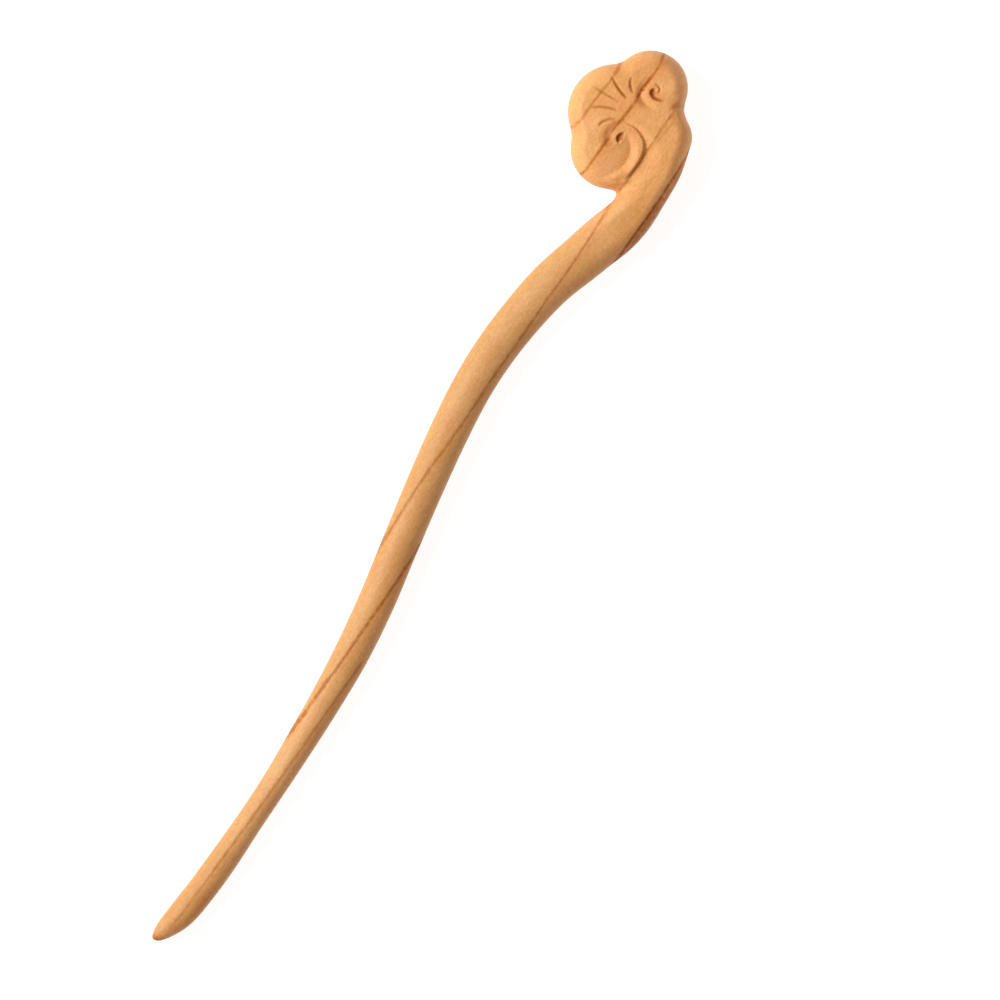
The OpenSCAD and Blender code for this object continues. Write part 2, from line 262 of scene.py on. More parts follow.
def crown(points):
    """Extra height of the face over the middle of the head."""
    away = np.linalg.norm(points - plan(CROWN_BACK, CROWN_SIDE), axis=1)
    r = np.clip(away / (CROWN_REACH * HEAD_WIDTH), 0, 1)
    return (HEAD_THICK - NECK_THICK) * (1 - r**2) ** 2


# Carved lines. Columns: distance back from the far end and sideways offset as shares of
# the head's width, then shares of the full depth and of the full width to the left and
# to the right, looking along the line. SCROLL_SHADE isn't cut: it is painted shade in the
# first turn of the large scroll, and has shares of the full darkness for those of the depth
SCROLL_GROOVE = [
    (0.806, 0.066, 0.15, 0.25, 0.90),
    (0.794, 0.088, 0.30, 0.38, 1.30),
    (0.771, 0.107, 0.36, 0.46, 1.80),
    (0.740, 0.120, 0.36, 0.48, 2.10),
    (0.706, 0.123, 0.33, 0.42, 2.10),
    (0.671, 0.117, 0.31, 0.36, 1.70),
    (0.633, 0.104, 0.36, 0.30, 1.10),
    (0.604, 0.081, 0.40, 0.23, 0.85),
    (0.585, 0.048, 0.40, 0.19, 0.70),
    (0.579, 0.008, 0.42, 0.19, 0.65),
    (0.581, -0.033, 0.50, 0.21, 0.70),
    (0.596, -0.083, 0.64, 0.28, 0.80),
    (0.621, -0.127, 0.74, 0.45, 0.90),
    (0.658, -0.162, 0.82, 0.75, 1.00),
    (0.708, -0.185, 0.93, 0.98, 1.15),
    (0.767, -0.195, 0.95, 1.10, 1.20),
    (0.825, -0.192, 0.95, 1.05, 1.15),
    (0.879, -0.183, 0.85, 0.85, 1.00),
    (0.925, -0.171, 0.50, 0.60, 0.85),
    (0.950, -0.162, 0.05, 0.40, 0.60),
]
DISH_FOOT = [
    (0.654, 0.008, 0.15, 0.55, 0.25),
    (0.673, -0.021, 0.50, 0.75, 0.40),
    (0.700, -0.052, 0.80, 0.90, 0.65),
    (0.738, -0.081, 1.00, 1.00, 0.90),
    (0.788, -0.097, 1.05, 1.05, 1.00),
    (0.842, -0.098, 1.05, 1.10, 1.00),
    (0.892, -0.087, 0.95, 1.05, 1.00),
    (0.938, -0.062, 0.75, 0.90, 0.95),
    (0.979, -0.033, 0.50, 0.75, 0.85),
    (1.017, -0.004, 0.20, 0.60, 0.70),
]
EYE = [
    (0.741, 0.018, 0.25, 0.70, 0.50),
    (0.729, 0.034, 0.80, 0.90, 0.85),
    (0.710, 0.045, 1.00, 1.00, 1.00),
    (0.692, 0.042, 0.95, 1.00, 0.95),
    (0.673, 0.034, 0.75, 0.90, 0.80),
    (0.656, 0.023, 0.25, 0.70, 0.50),
]
# Painted shade above the hook, where the scroll's outer wall turns away from the light
SCROLL_SHADE = [
    (0.812, 0.050, 0.10, 0.60, 0.60),
    (0.797, 0.072, 0.56, 0.70, 0.90),
    (0.772, 0.098, 0.64, 0.90, 1.00),
    (0.735, 0.114, 0.62, 1.20, 1.00),
    (0.697, 0.119, 0.58, 1.20, 1.00),
    (0.658, 0.111, 0.50, 1.00, 1.00),
    (0.622, 0.094, 0.42, 0.80, 0.80),
    (0.598, 0.066, 0.10, 0.60, 0.60),
]
COMMA = [
    (0.269, -0.014, 0.35, 0.70, 0.70),
    (0.281, -0.008, 0.85, 1.00, 0.90),
    (0.297, -0.007, 1.00, 1.00, 1.00),
    (0.312, -0.019, 1.00, 0.85, 1.00),
    (0.323, -0.042, 0.90, 0.50, 0.90),
    (0.324, -0.069, 0.75, 0.38, 0.80),
    (0.319, -0.095, 0.60, 0.34, 0.70),
    (0.308, -0.124, 0.20, 0.28, 0.50),
]
CURL = [
    (0.283, -0.048, 0.20, 0.60, 0.60),
    (0.268, -0.055, 0.80, 1.00, 1.00),
    (0.250, -0.051, 1.00, 1.00, 1.00),
    (0.236, -0.035, 1.00, 1.00, 1.00),
    (0.233, -0.012, 0.80, 0.90, 0.90),
    (0.238, 0.004, 0.10, 0.60, 0.60),
]
COMMA_VALLEY = [
    (0.390, -0.110, 0.00, 0.50, 0.50),
    (0.396, -0.070, 0.40, 0.70, 0.70),
    (0.397, -0.035, 0.75, 0.85, 0.85),
    (0.392, 0.005, 1.00, 1.00, 1.00),
    (0.377, 0.036, 1.00, 1.00, 1.00),
    (0.346, 0.057, 0.90, 1.00, 0.95),
    (0.302, 0.062, 0.75, 1.00, 0.80),
    (0.256, 0.054, 0.45, 0.85, 0.70),
    (0.210, 0.040, 0.00, 0.60, 0.70),
]
RIM_CUT = [
    (0.262, -0.262, 0.90, 1.00, 1.00),
    (0.280, -0.240, 1.00, 1.00, 1.00),
    (0.304, -0.215, 0.75, 0.90, 0.90),
    (0.331, -0.193, 0.15, 0.60, 0.60),
]

# How the lines are cut. Columns: line, full depth and full width to the left and to the
# right in millimetres, floor and lip. A floor of 1 leaves a sharp bottom and 2 a round
# one, and a larger lip eases the upper edge further
CUTS = [
    (SCROLL_GROOVE, 0.74, 3.00, 0.50, 1.2, 1.3),
    (DISH_FOOT, 0.70, 1.45, 5.40, 1.0, 1.5),
    (EYE, 0.78, 0.30, 1.80, 1.6, 2.0),
    (COMMA, 0.66, 0.92, 0.46, 1.5, 1.4),
    (CURL, 0.30, 0.36, 0.30, 1.5, 1.4),
    (COMMA_VALLEY, 0.50, 1.25, 1.40, 1.4, 2.0),
    (RIM_CUT, 0.50, 1.00, 0.90, 1.3, 1.5),
]

# Where the cuts are painted darker: partly oil and dust gathered in them, partly painted
# shade over their walls and floors. SCROLL_SHADE is painted shade only. Columns as for the
# cuts, with the full darkness in the place of the full depth
STAINS_AND_SHADE = [
    (SCROLL_SHADE, 1.00, 1.00, 1.10, 2.0, 1.0),
    (EYE, 1.30, 0.34, 1.95, 1.4, 1.2),
    (COMMA, 1.05, 0.95, 0.48, 2.0, 1.0),
    (CURL, 0.38, 0.40, 0.34, 2.0, 1.0),
    (RIM_CUT, 0.40, 0.60, 0.50, 1.5, 1.0),
]

# Knife cuts of the fan. Columns: distance back from the far end and sideways offset as
# shares of the head's width, and strength, the share of the full depth and darkness
FAN_CUTS = [
    [(0.272, 0.172, 0.0), (0.288, 0.173, 0.5), (0.312, 0.166, 0.8), (0.340, 0.148, 1.0),
     (0.360, 0.126, 0.7), (0.378, 0.096, 0.0)],
    [(0.342, 0.312, 0.0), (0.356, 0.288, 0.5), (0.377, 0.255, 0.9), (0.398, 0.217, 1.0),
     (0.414, 0.179, 1.0), (0.425, 0.143, 0.7), (0.431, 0.120, 0.0)],
    [(0.475, 0.385, 0.0), (0.478, 0.330, 0.45), (0.479, 0.270, 0.5), (0.481, 0.210, 0.45),
     (0.484, 0.150, 0.0)],
    [(0.625, 0.335, 0.0), (0.602, 0.300, 0.5), (0.577, 0.258, 0.6), (0.558, 0.215, 0.65),
     (0.547, 0.175, 0.6), (0.540, 0.125, 0.0)],
    [(0.710, 0.208, 0.0), (0.688, 0.203, 0.7), (0.660, 0.190, 0.7), (0.632, 0.168, 0.6),
     (0.610, 0.140, 0.4), (0.603, 0.110, 0.0)],
]
FAN_CUT_HALF = 0.36 * MM
FAN_CUT_DEEP = 0.24 * MM
FAN_CUT_REACH = 1.7 * FAN_CUT_HALF  # further from its line than this, a cut has no strength
FAN_CUT_FAR = 4             # half widths from its line beyond which points are marked alike

# Places painted warmer and darker, and paler where the strength is less than zero: partly
# the wood's own tone, partly painted shade and painted light on slopes and hollows that turn
# away from or towards the light. Columns: distance back, sideways offset, reach along the
# stick and reach across it as shares of the head's width, and strength
TONE_AND_LIGHT_SPOTS = [
    (7.490, 0.045, 0.050, 0.200, 1.0),
    (7.250, 0.000, 0.200, 0.090, 0.5),
    (7.100, -0.130, 0.350, 0.060, 0.8),
    (6.050, -0.140, 0.600, 0.085, -0.6),
    (4.250, -0.120, 0.450, 0.090, 0.4),
    (1.167, -0.340, 0.220, 0.080, 0.4),
    (1.333, -0.208, 0.200, 0.045, -0.4),
    (1.625, -0.240, 0.150, 0.060, 0.4),
    (1.125, -0.365, 0.200, 0.045, 0.4),
    (1.000, -0.045, 0.040, 0.040, -0.4),
    (0.992, -0.267, 0.060, 0.050, 0.8),
    (0.980, -0.105, 0.040, 0.035, 0.7),
    (0.925, -0.128, 0.040, 0.030, 0.9),
    (0.972, -0.160, 0.045, 0.030, -1.0),
    (0.960, 0.030, 0.100, 0.120, -0.4),
    (0.850, -0.020, 0.090, 0.050, -0.3),
    (0.790, -0.104, 0.060, 0.030, 0.35),
    (0.692, -0.012, 0.025, 0.030, -0.5),
    (0.757, 0.132, 0.055, 0.030, 0.5),
    (0.700, 0.142, 0.040, 0.022, 0.3),
    (0.790, 0.080, 0.022, 0.022, 0.9),
    (0.715, 0.110, 0.060, 0.022, 0.3),
    (0.705, 0.285, 0.075, 0.075, -0.8),
    (0.565, 0.000, 0.020, 0.110, -0.6),
    (0.520, 0.100, 0.130, 0.100, 0.3),
    (0.400, 0.020, 0.030, 0.060, 0.5),
    (0.355, -0.050, 0.030, 0.050, -0.5),
    (0.320, 0.300, 0.035, 0.035, 0.4),
    (0.310, 0.085, 0.040, 0.020, 0.5),
    (0.310, -0.205, 0.032, 0.022, 1.0),
    (0.262, -0.222, 0.035, 0.016, 0.7),
    (0.280, -0.032, 0.022, 0.016, 0.8),
    (0.270, 0.030, 0.170, 0.150, 0.4),
    (0.235, -0.190, 0.035, 0.020, -0.7),
    (0.220, 0.260, 0.090, 0.070, 0.3),
    (0.219, -0.022, 0.045, 0.045, -0.7),
    (0.229, -0.104, 0.050, 0.040, -0.6),
    (0.146, -0.125, 0.070, 0.050, -0.7),
    (0.083, 0.045, 0.060, 0.050, 0.8),
]
TIP_DARKENING = 0.62            # how much darker the tip is painted
TIP_DARKENING_REACH = 1.1 * MM
LINE_STEPS = 10             # steps between two rows of a carved line
CUT_JOIN = 4                # how sharply two cuts that overlap take over from each other

# What each point of the skin is marked with, for the finish: depth of the cut, darkness
# painted in it (oil gathered there and painted shade), side and strength of the nearest
# knife cut, and the wood's tone with painted shade and painted light
MARKS = ("cut_depth", "stain", "fan_side", "fan_force", "warmth")


def bend(a, b, c, d, s):
    """Smooth curve from b to c at the share s, led in by a and out by d."""
    return 0.5 * (2 * b + (c - a) * s + (2 * a - 5 * b + 4 * c - d) * s**2
                  + (3 * b - a - 3 * c + d) * s**3)


def line_stops(rows):
    """A carved line's rows with the stops between them."""
    rows = np.array(rows, float)
    led = np.vstack([rows[:1], rows, rows[-1:]])
    stops = [bend(*led[i:i + 4], s)
             for i in range(len(rows) - 1)
             for s in np.arange(LINE_STEPS) / LINE_STEPS]
    return np.vstack([stops, rows[-1:]])


def carved_stretches(points, rows):
    """For each stretch of a carved line: how far away each point is, how far it lies to
    the left, and what the line's other columns are where the point is nearest to it."""
    stops = line_stops(rows)
    line = plan(stops[:, 0], stops[:, 1])
    others = stops[:, 2:]
    for (along, away, left), start, end in zip(stretches(points, line), others, others[1:]):
        yield away, left, (start + along[:, None] * (end - start)).T


def carve(points, rows, deep, left, right, floor, lip):
    """Depth that one carved line takes away at each point."""
    nearest = np.full(len(points), np.inf)
    depth = np.zeros(len(points))
    for away, to_left, (share, on_left, on_right) in carved_stretches(points, rows):
        reach = np.where(to_left > 0, left * on_left, right * on_right)
        out = np.clip(away / reach, 0, 1)
        closer = away < nearest
        nearest = np.where(closer, away, nearest)
        depth = np.where(closer, deep * share * (1 - out**floor) ** lip, depth)
    return np.maximum(depth, 0)


def carving(points):
    """Depth that all the carving takes off the face of the head at each point, and how
    dark its small cuts are painted there: oil and dust gathered in them, and painted shade."""
    cuts = [carve(points, line, deep * MM, left * MM, right * MM, floor, lip)
            for line, deep, left, right, floor, lip in CUTS]
    stains_and_shade = [carve(points, line, dark, left * MM, right * MM, floor, lip)
              for line, dark, left, right, floor, lip in STAINS_AND_SHADE]
    depth = sum(cut**CUT_JOIN for cut in cuts) ** (1 / CUT_JOIN)
    return depth, np.clip(np.max(stains_and_shade, axis=0), 0, 1)


def fan_cuts(points):
    """How far each point lies to the left of the nearest knife cut, in half widths of
    the cut, and how strong the cut is there."""
    nearest = np.full(len(points), np.inf)
    side, force = np.ones(len(points)), np.zeros(len(points))
    for rows in FAN_CUTS:
        for away, left, (strength,) in carved_stretches(points, rows):
            closer = away < nearest
            nearest = np.where(closer, away, nearest)
            side = np.where(closer, left / FAN_CUT_HALF, side)
            force = np.where(closer, strength, force)
    return (np.clip(side, -FAN_CUT_FAR, FAN_CUT_FAR),
            np.where(nearest < FAN_CUT_REACH, force, 0))


def warmth(points):
    """How much warmer and darker each point is painted, less than zero where it is painted
    paler: the wood's own tone, painted shade and painted light.
    """
    spots = []
    for back, side, along, across, force in TONE_AND_LIGHT_SPOTS:
        away = (points - plan(back, side)) / (np.array([along, across]) * HEAD_WIDTH)
        spots.append(force * np.exp(-np.sum(away**2, axis=1)))
    return np.clip(sum(spots), -1, 1)


def face_rounding(x, half):
    """How far in from the edge the face is rounded: over the whole half width of the
    round shaft, and less on the head."""
    start, end = [END_X - back * HEAD_WIDTH for back in FLATTEN_BACK]
    s = np.clip((x - start) / (end - start), 0, 1)
    return half + (FACE_ROUND - half) * s * s * (3 - 2 * s)


def face_height(points, depth):
    """Height of the uncut face of the head, at a depth inside its outline."""
    x = points[:, 0]
    reach = face_rounding(x, path.at(x, WIDTH) / 2)
    return EDGE_Z + (EDGE_Z + crown(points)) * bulge(depth, reach)


def walk_out(core, way):
    """Length of the way from each core point to the outline."""
    length = np.zeros(len(core))
    for _ in range(WALK_STEPS):
        length = length - gap_to_outline(core + way * length[:, None])
    return length


def arm_shares(length, count):
    """Shares of the way from the edge to the core, close together where the rim turns."""
    length = length[:, None]
    rim = np.minimum(RIM_ROUND, RIM_MOST * length)
    turn = rim * RIM_SHARE
    way = np.linspace(0, 1, count + 1)[None] * (turn + length - rim)
    on_rim = rim * (1 - np.cos(np.pi / 2 * np.clip(way / turn, 0, 1)))
    return (on_rim + np.clip(way - turn, 0, None)) / length


def head_rings(core, left, right):
    """Rings of points round the head, and for each ring what its points are marked with."""
    face, back, marks = [], [], []
    for way in (left, right):
        length = walk_out(core, way)
        for count, heights in ((FACE_POINTS, face), (BACK_POINTS, back)):
            share = arm_shares(length, count)
            reach = (1 - share) * length[:, None]
            points = core[:, None] + way[:, None] * reach[:, :, None]
            flat = points.reshape(-1, 2)
            at_edge = share.ravel() == 0
            if heights is face:
                depth = np.where(at_edge, 0, depth_inside(flat))
                cut, stain = carving(flat)
                cut = cut * np.clip(depth / CUT_FADE, 0, 1)
                side, force = fan_cuts(flat)
                knife = FAN_CUT_DEEP * np.minimum(force, 1) * np.clip(1 - np.abs(side), 0, 1)
                z = face_height(flat, depth) - cut - knife
                columns = [cut, stain, side, force, warmth(flat)]
                marks.append(np.stack(columns, -1).reshape(*share.shape, len(MARKS)))
            else:
                depth = np.where(at_edge, 0, np.clip(-gap_to_outline(flat), 0, None))
                z = EDGE_Z * (1 - bulge(depth, RIM_ROUND))
            heights.append(np.dstack([points, z.reshape(share.shape)]))
    blank = np.zeros((len(core), BACK_POINTS + 1, len(MARKS)))
    return ring_of(face, back), ring_of(marks, [blank, blank])


def ring_of(face, back):
    """Points from the left edge over the face to the right and home under the back."""
    return np.concatenate([face[0], face[1][:, -2::-1], back[1][:, 1:],
                           back[0][:, -2:0:-1]], axis=1)


def shaft_rings(x):
    """Rings of points round the shaft, drawn in toward the tip over the rounded point."""
    ahead, behind = path.at(x + PATH_LOOK, SIDE), path.at(x - PATH_LOOK, SIDE)
    turn = np.arctan2(ahead - behind, 2 * PATH_LOOK)
    draw = bulge(x - TIP_X, TIP_ROUND)
    half = path.at(x, WIDTH) / 2 * draw
    across = np.stack([-np.sin(turn), np.cos(turn)], -1)
    turns = [(0, 1, 2 * FACE_POINTS), (1, 2, 2 * BACK_POINTS)]
    angle = np.concatenate([np.pi * np.linspace(a, b, n + 1)[:-1] for a, b, n in turns])
    plan_points = (np.stack([x, path.at(x, SIDE)], -1)[:, None]
                   + across[:, None] * (half[:, None] * np.cos(angle))[:, :, None])
    inside = half[:, None] * (1 - np.abs(np.cos(angle)))
    face = draw[:, None] * bulge(inside, face_rounding(x, half)[:, None])
    back = draw[:, None] * np.sin(angle)
    z = path.at(x, THICK)[:, None] / 2 * (1 + np.where(angle < np.pi, face, back))
    return np.dstack([plan_points, z])


def heading(degrees):
    """Direction in plan at an angle from the stick's length."""
    return np.stack([np.cos(np.radians(degrees)), np.sin(np.radians(degrees))], -1)


def fan_sections():
    """Core points and left and right directions of all the sections through the head,
    spaced by how far the middles of their arms travel."""
    rows = np.array(FAN_ROWS)
    core = plan(rows[:, 0], rows[:, 1])
    travel = np.zeros(len(rows) - 1)
    for way in (heading(rows[:, 2]), heading(rows[:, 3])):
        middle = core + way * 0.5 * walk_out(core, way)[:, None]
        travel = np.maximum(travel, np.linalg.norm(np.diff(middle, axis=0), axis=1))
    place = np.concatenate([[0], np.cumsum(travel)])
    at = np.linspace(0, place[-1], FAN_SECTIONS)
    back, side, left, right = [np.interp(at, place, column) for column in rows.T]
    turn = np.radians(np.linspace(END_TURN, 0, END_SECTIONS + 1)[1:-1])
    _, lobe_side, radius = LOBE_ROWS[0]
    open_angle = 90 - END_LEAN * np.degrees(turn) / END_TURN
    back = np.concatenate([back, radius * (1 - np.cos(turn))])
    side = np.concatenate([side, np.interp(turn, [0, turn[0]], [lobe_side, side[-1]])])
    return (plan(back, side), heading(np.concatenate([left, open_angle])),
            heading(np.concatenate([right, -open_angle])))


def skin(start, rings, count):
    """Faces between rings that follow each other, each of them with count points."""
    j = np.arange(count)
    k = (j + 1) % count
    first = start + np.arange(rings - 1)[:, None] * count
    corners = [first + j, first + count + j, first + count + k, first + k]
    return np.stack(corners, -1).reshape(-1, 4).tolist()


def stick_faces(shaft_count, head_count, size):
    """Faces of the stick, whose head has rings of this size and its shaft of half of it.
    Triangles join the two, and close the stick at its tip and its end."""
    half = size // 2
    head_at = shaft_count * half
    last_shaft = head_at - half
    tip_at = head_at + head_count * size
    last_head = tip_at - size
    end_at = tip_at + 1
    j, ring = np.arange(half), np.arange(size)
    k = (j + 1) % half
    triangles = [
        (last_shaft + j, head_at + 2 * j, head_at + 2 * j + 1),
        (last_shaft + j, head_at + 2 * j + 1, last_shaft + k),
        (head_at + 2 * j + 1, head_at + 2 * k, last_shaft + k),
        (tip_at, j, k),
        (end_at, last_head + (ring + 1) % size, last_head + ring),
    ]
    faces = skin(0, shaft_count, half) + skin(head_at, head_count, size)
    for corners in triangles:
        faces += np.stack(np.broadcast_arrays(*corners), -1).tolist()
    return faces


def stick_mesh():
    """The whole stick as one closed skin over its rings."""
    tip_x = TIP_X + TIP_ROUND * (1 - np.cos(np.linspace(0, np.pi / 2, TIP_SECTIONS + 1)[1:]))
    shaft_x = np.linspace(TIP_X + TIP_ROUND, NECK_X, SHAFT_SECTIONS + 1)[1:-1]
    shaft = shaft_rings(np.concatenate([tip_x, shaft_x]))[:, ::2]
    head, head_marks = head_rings(*fan_sections())
    tip = np.array([TIP_X, path.at(TIP_X, SIDE), path.at(TIP_X, THICK) / 2])
    end = np.array([END_X, LOBE_ROWS[0][1] * HEAD_WIDTH, EDGE_Z])
    points = np.concatenate([shaft.reshape(-1, 3), head.reshape(-1, 3), [tip, end]])
    points = np.clip(points, stick_low, stick_high)
    faces = stick_faces(len(shaft), len(head), head.shape[1])
    shaft_plan = shaft[:, :, :2].reshape(-1, 2)
    shaft_marks = np.zeros((len(shaft_plan), len(MARKS)))
    near_tip = np.exp(-((shaft_plan[:, 0] - TIP_X) / TIP_DARKENING_REACH) ** 2)
    shaft_marks[:, MARKS.index("stain")] = TIP_DARKENING * near_tip
    shaft_marks[:, MARKS.index("warmth")] = warmth(shaft_plan)
    end_marks = np.zeros((2, len(MARKS)))
    end_marks[0, MARKS.index("stain")] = TIP_DARKENING
    marks = np.concatenate([shaft_marks, head_marks.reshape(-1, len(MARKS)), end_marks])
    return points, faces, marks


points, faces, marks = stick_mesh()
mesh = bpy.data.meshes.new("carved_stick")
mesh.from_pydata(points.tolist(), [], faces)
mesh.update()
for polygon in mesh.polygons:
    polygon.use_smooth = True
for name, values in zip(MARKS, marks.T):
    store = mesh.attributes.new(name, "FLOAT", "POINT")
    store.data.foreach_set("value", values.astype(np.float32))
stick = bpy.data.objects.new("carved_stick", mesh)
bpy.context.scene.collection.objects.link(stick)
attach(stick, "root")
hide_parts("hair_stick")


class Wire:
    """A value, vector or colour on its way through a finish's nodes."""

    def __init__(self, finish, socket):
        self.finish = finish
        self.socket = socket

    def math(self, operation, *values):
        return self.finish.node("ShaderNodeMath", {"operation": operation},
                                dict(enumerate(values)))

    def __add__(self, other):
        return self.math("ADD", self, other)

    __radd__ = __add__

    def __sub__(self, other):
        return self.math("SUBTRACT", self, other)

    def __rsub__(self, other):
        return self.math("SUBTRACT", other, self)

    def __mul__(self, other):
        return self.math("MULTIPLY", self, other)

    __rmul__ = __mul__

    def __truediv__(self, other):
        return self.math("DIVIDE", self, other)

    def __abs__(self):
        return self.math("ABSOLUTE", self)

    def at_most(self, other):
        return self.math("MINIMUM", self, other)

    def at_least(self, other):
        return self.math("MAXIMUM", self, other)

    def rise(self, start, end, low=0.0, high=1.0):
        """Eases from low to high as the value goes from start to end."""
        return self.finish.node(
            "ShaderNodeMapRange", {"interpolation_type": "SMOOTHSTEP"},
            {"Value": self, "From Min": start, "From Max": end, "To Min": low,
             "To Max": high})


class Finish:
    """A material's node tree."""

    def __init__(self, name):
        self.material = bpy.data.materials.new(name)
        self.material.use_nodes = True
        self.tree = self.material.node_tree
        self.tree.nodes.clear()

    def node(self, kind, settings=None, ins=None, out=0):
        """Adds a node with its settings and the values or links of its sockets."""
        node = self.tree.nodes.new(kind)
        for name, value in (settings or {}).items():
            if name == "stops":
                self.set_stops(node.color_ramp, value)
            else:
                setattr(node, name, value)
        for name, value in (ins or {}).items():
            if isinstance(value, Wire):
                self.tree.links.new(value.socket, node.inputs[name])
            else:
                node.inputs[name].default_value = value
        return Wire(self, node.outputs[out]) if node.outputs else None

    def set_stops(self, ramp, stops):
        ramp.interpolation = "CARDINAL"
        while len(ramp.elements) < len(stops):
            ramp.elements.new(1.0)
        for element, (place, shade) in zip(ramp.elements, stops):
            element.position = place
            element.color = (shade, shade, shade, 1.0)

    def mix(self, share, one, other, blend="MIX"):
        """A colour between two."""
        return self.node("ShaderNodeMix", {"data_type": "RGBA", "blend_type": blend},
                         {0: share, 6: one, 7: other}, out=2)

    def graph(self, value, places):
        """Smooth curve through places, each the value and what is read there."""
        reads = [read for _, read in places]
        low, span = min(reads), max(reads) - min(reads)
        first, last = places[0][0], places[-1][0]
        stops = [((place - first) / (last - first), (read - low) / span)
                 for place, read in places]
        ramp = self.node("ShaderNodeValToRGB", {"stops": stops},
                         {0: (value - first) / (last - first)})
        return ramp * span + low

    def noise(self, place, detail, rough):
        """Noise over a place given as x, y and z, with one patch per unit of it."""
        at = self.node("ShaderNodeCombineXYZ", ins=dict(enumerate(place)))
        return self.node("ShaderNodeTexNoise", {"noise_dimensions": "3D"},
                         {"Vector": at, "Scale": 1.0, "Detail": detail, "Roughness": rough})


# The lengths of the wood's finish are in millimetres

# Growth lines of the wood, which run nearly along the stick, and one wide band of painted
# shade along the lower rim of the neck. Columns: darkness, half width and points, each
# with how far along and how far across the grain the line lies there
GROWTH_LINES = [
    (0.62, 0.24, [(62, 15.2), (68, 14.9), (71, 14.6), (75, 14.55), (79, 14.3),
                  (84, 14.13)]),
    (0.88, 0.25, [(60, 8.75), (64, 8.66), (67, 8.68), (69.3, 8.67), (71.0, 8.65)]),
    (0.90, 0.26, [(74.2, 8.83), (76.5, 8.6), (78.5, 8.57), (80.5, 8.52), (82.3, 8.7),
                  (84, 8.6)]),
    (1.15, 0.30, [(81.8, 8.68), (84, 8.63)]),
    (0.74, 0.24, [(84, 8.6), (86, 8.53), (89, 8.8)]),
    (0.66, 0.24, [(-15, -0.55), (-9, -0.05), (-5, 0.2), (0, 0.55), (6, 0.72), (14, 0.55),
                  (25, 0.76), (33, 0.84), (42, 0.98), (52, 0.97), (60, 1.32), (68, 1.6),
                  (76, 1.8), (81, 1.92)]),
    (0.28, 0.22, [(75, 1.45), (77, 1.2), (80, 0.95)]),
    (0.82, 0.28, [(-46, -6.1), (-36, -6.08), (-24, -6.03), (-10, -5.94), (-2, -5.88)]),
    (0.92, 0.29, [(0, -5.85), (20, -5.6), (55, -5.25), (62, -5.1), (68, -5.1),
                  (76, -4.9), (82, -4.75)]),
    (1.30, 0.27, [(55, -5.25), (62, -5.1), (68, -5.1), (76, -4.9)]),
    # Not a growth line: a wide band of painted shade along the neck's lower rim, which turns
    # away from the light
    (0.75, 0.60, [(58, -6.05), (68, -5.95), (76, -5.8)]),
    (0.36, 0.24, [(-86, -8.5), (-80, -8.7), (-76, -8.8)]),
    (0.54, 0.24, [(-74, -8.85), (-68, -8.95), (-60, -9.13), (-50, -9.16), (-30, -9.18)]),
]
LINE_FADE = 2.5             # over which a growth line fades past its first and last point
LINE_OUTER = 1.7            # half widths from its middle at which a growth line sets in
LINE_INNER = 0.3            # and at which it is as dark as it gets
LATE_WOOD = 2.4             # over which the wood darkens on its way to a growth line
LATE_END = (0.10, -0.02)    # past the line's middle, where that is gone and where still full
GRAIN_TURN = 0.0876         # how far the grain turns off the stick's length
GRAIN_TILT = 0.12           # how far a growth line moves sideways as it goes down
LONG_WANDER = 0.25          # how strongly a growth line wanders in long waves
SHORT_WANDER = 0.22         # and in short ones

# Noises drawn out along the grain, each with values round a half. Columns: patches per
# millimetre along the grain and across it, number of finer layers and their strength, and
# a shift along the grain, which keeps the patches of like noises apart
GRAINS = {
    "long_wave": (0.05, 0.12, 2.0, 0.50, 0.0),
    "short_wave": (0.35, 0.40, 2.0, 0.50, 7.0),
    "swell": (0.60, 0.80, 2.0, 0.50, 19.0),
    "break": (1.20, 0.50, 2.0, 0.60, 31.0),
    "fibre": (0.90, 9.00, 3.0, 0.65, 0.0),
    "streak": (0.12, 2.20, 3.0, 0.55, 0.0),
    "cloud": (0.16, 0.22, 2.0, 0.50, 3.0),
    "blush": (0.22, 0.30, 2.0, 0.50, 53.0),
    "mottle": (1.50, 2.40, 3.0, 0.60, 11.0),
    "grit": (2.40, 3.20, 2.0, 0.60, 71.0),
    "speck": (1.60, 5.00, 2.0, 0.50, 23.0),
}

# How the bare wood is tinted by its noises. Columns: noise, value at which the tint sets in
# and value at which it is full, strength, and what it leaves of red, green and blue
GRAIN_TINTS = [
    ("cloud", 0.36, 0.66, 0.70, (0.96, 0.91, 0.82)),
    ("blush", 0.42, 0.66, 0.70, (1.00, 0.92, 0.97)),
    ("streak", 0.35, 0.75, 0.40, (0.88, 0.80, 0.72)),
    ("mottle", 0.36, 0.64, 0.70, (0.88, 0.80, 0.72)),
    ("grit", 0.38, 0.62, 0.50, (0.88, 0.81, 0.74)),
    ("fibre", 0.40, 0.75, 0.35, (0.80, 0.72, 0.62)),
]

# How much of the light the bare wood gives back: red, green and blue. The shaft's is darker
# than the head's, partly a difference in tone and partly painted shade, standing in for the
# shaft being less lit than the head's face
SHAFT_WOOD = (0.735, 0.388, 0.146, 1.0)
HEAD_WOOD = (0.920, 0.468, 0.172, 1.0)
HEAD_WOOD_FROM = 46         # x and y added up, between which the head's wood sets in
HEAD_WOOD_TO = 64

# Roughness of the bare wood, and what fibres and growth lines add to it
WOOD_ROUGH = 0.42
FIBRE_ROUGH = 0.14
LINE_ROUGH = 0.10

# Relief of the grain
FIBRE_HIGH = 0.010
MOTTLE_HIGH = 0.020
PORE_DEEP = 0.006
LINE_DEEP = 0.006


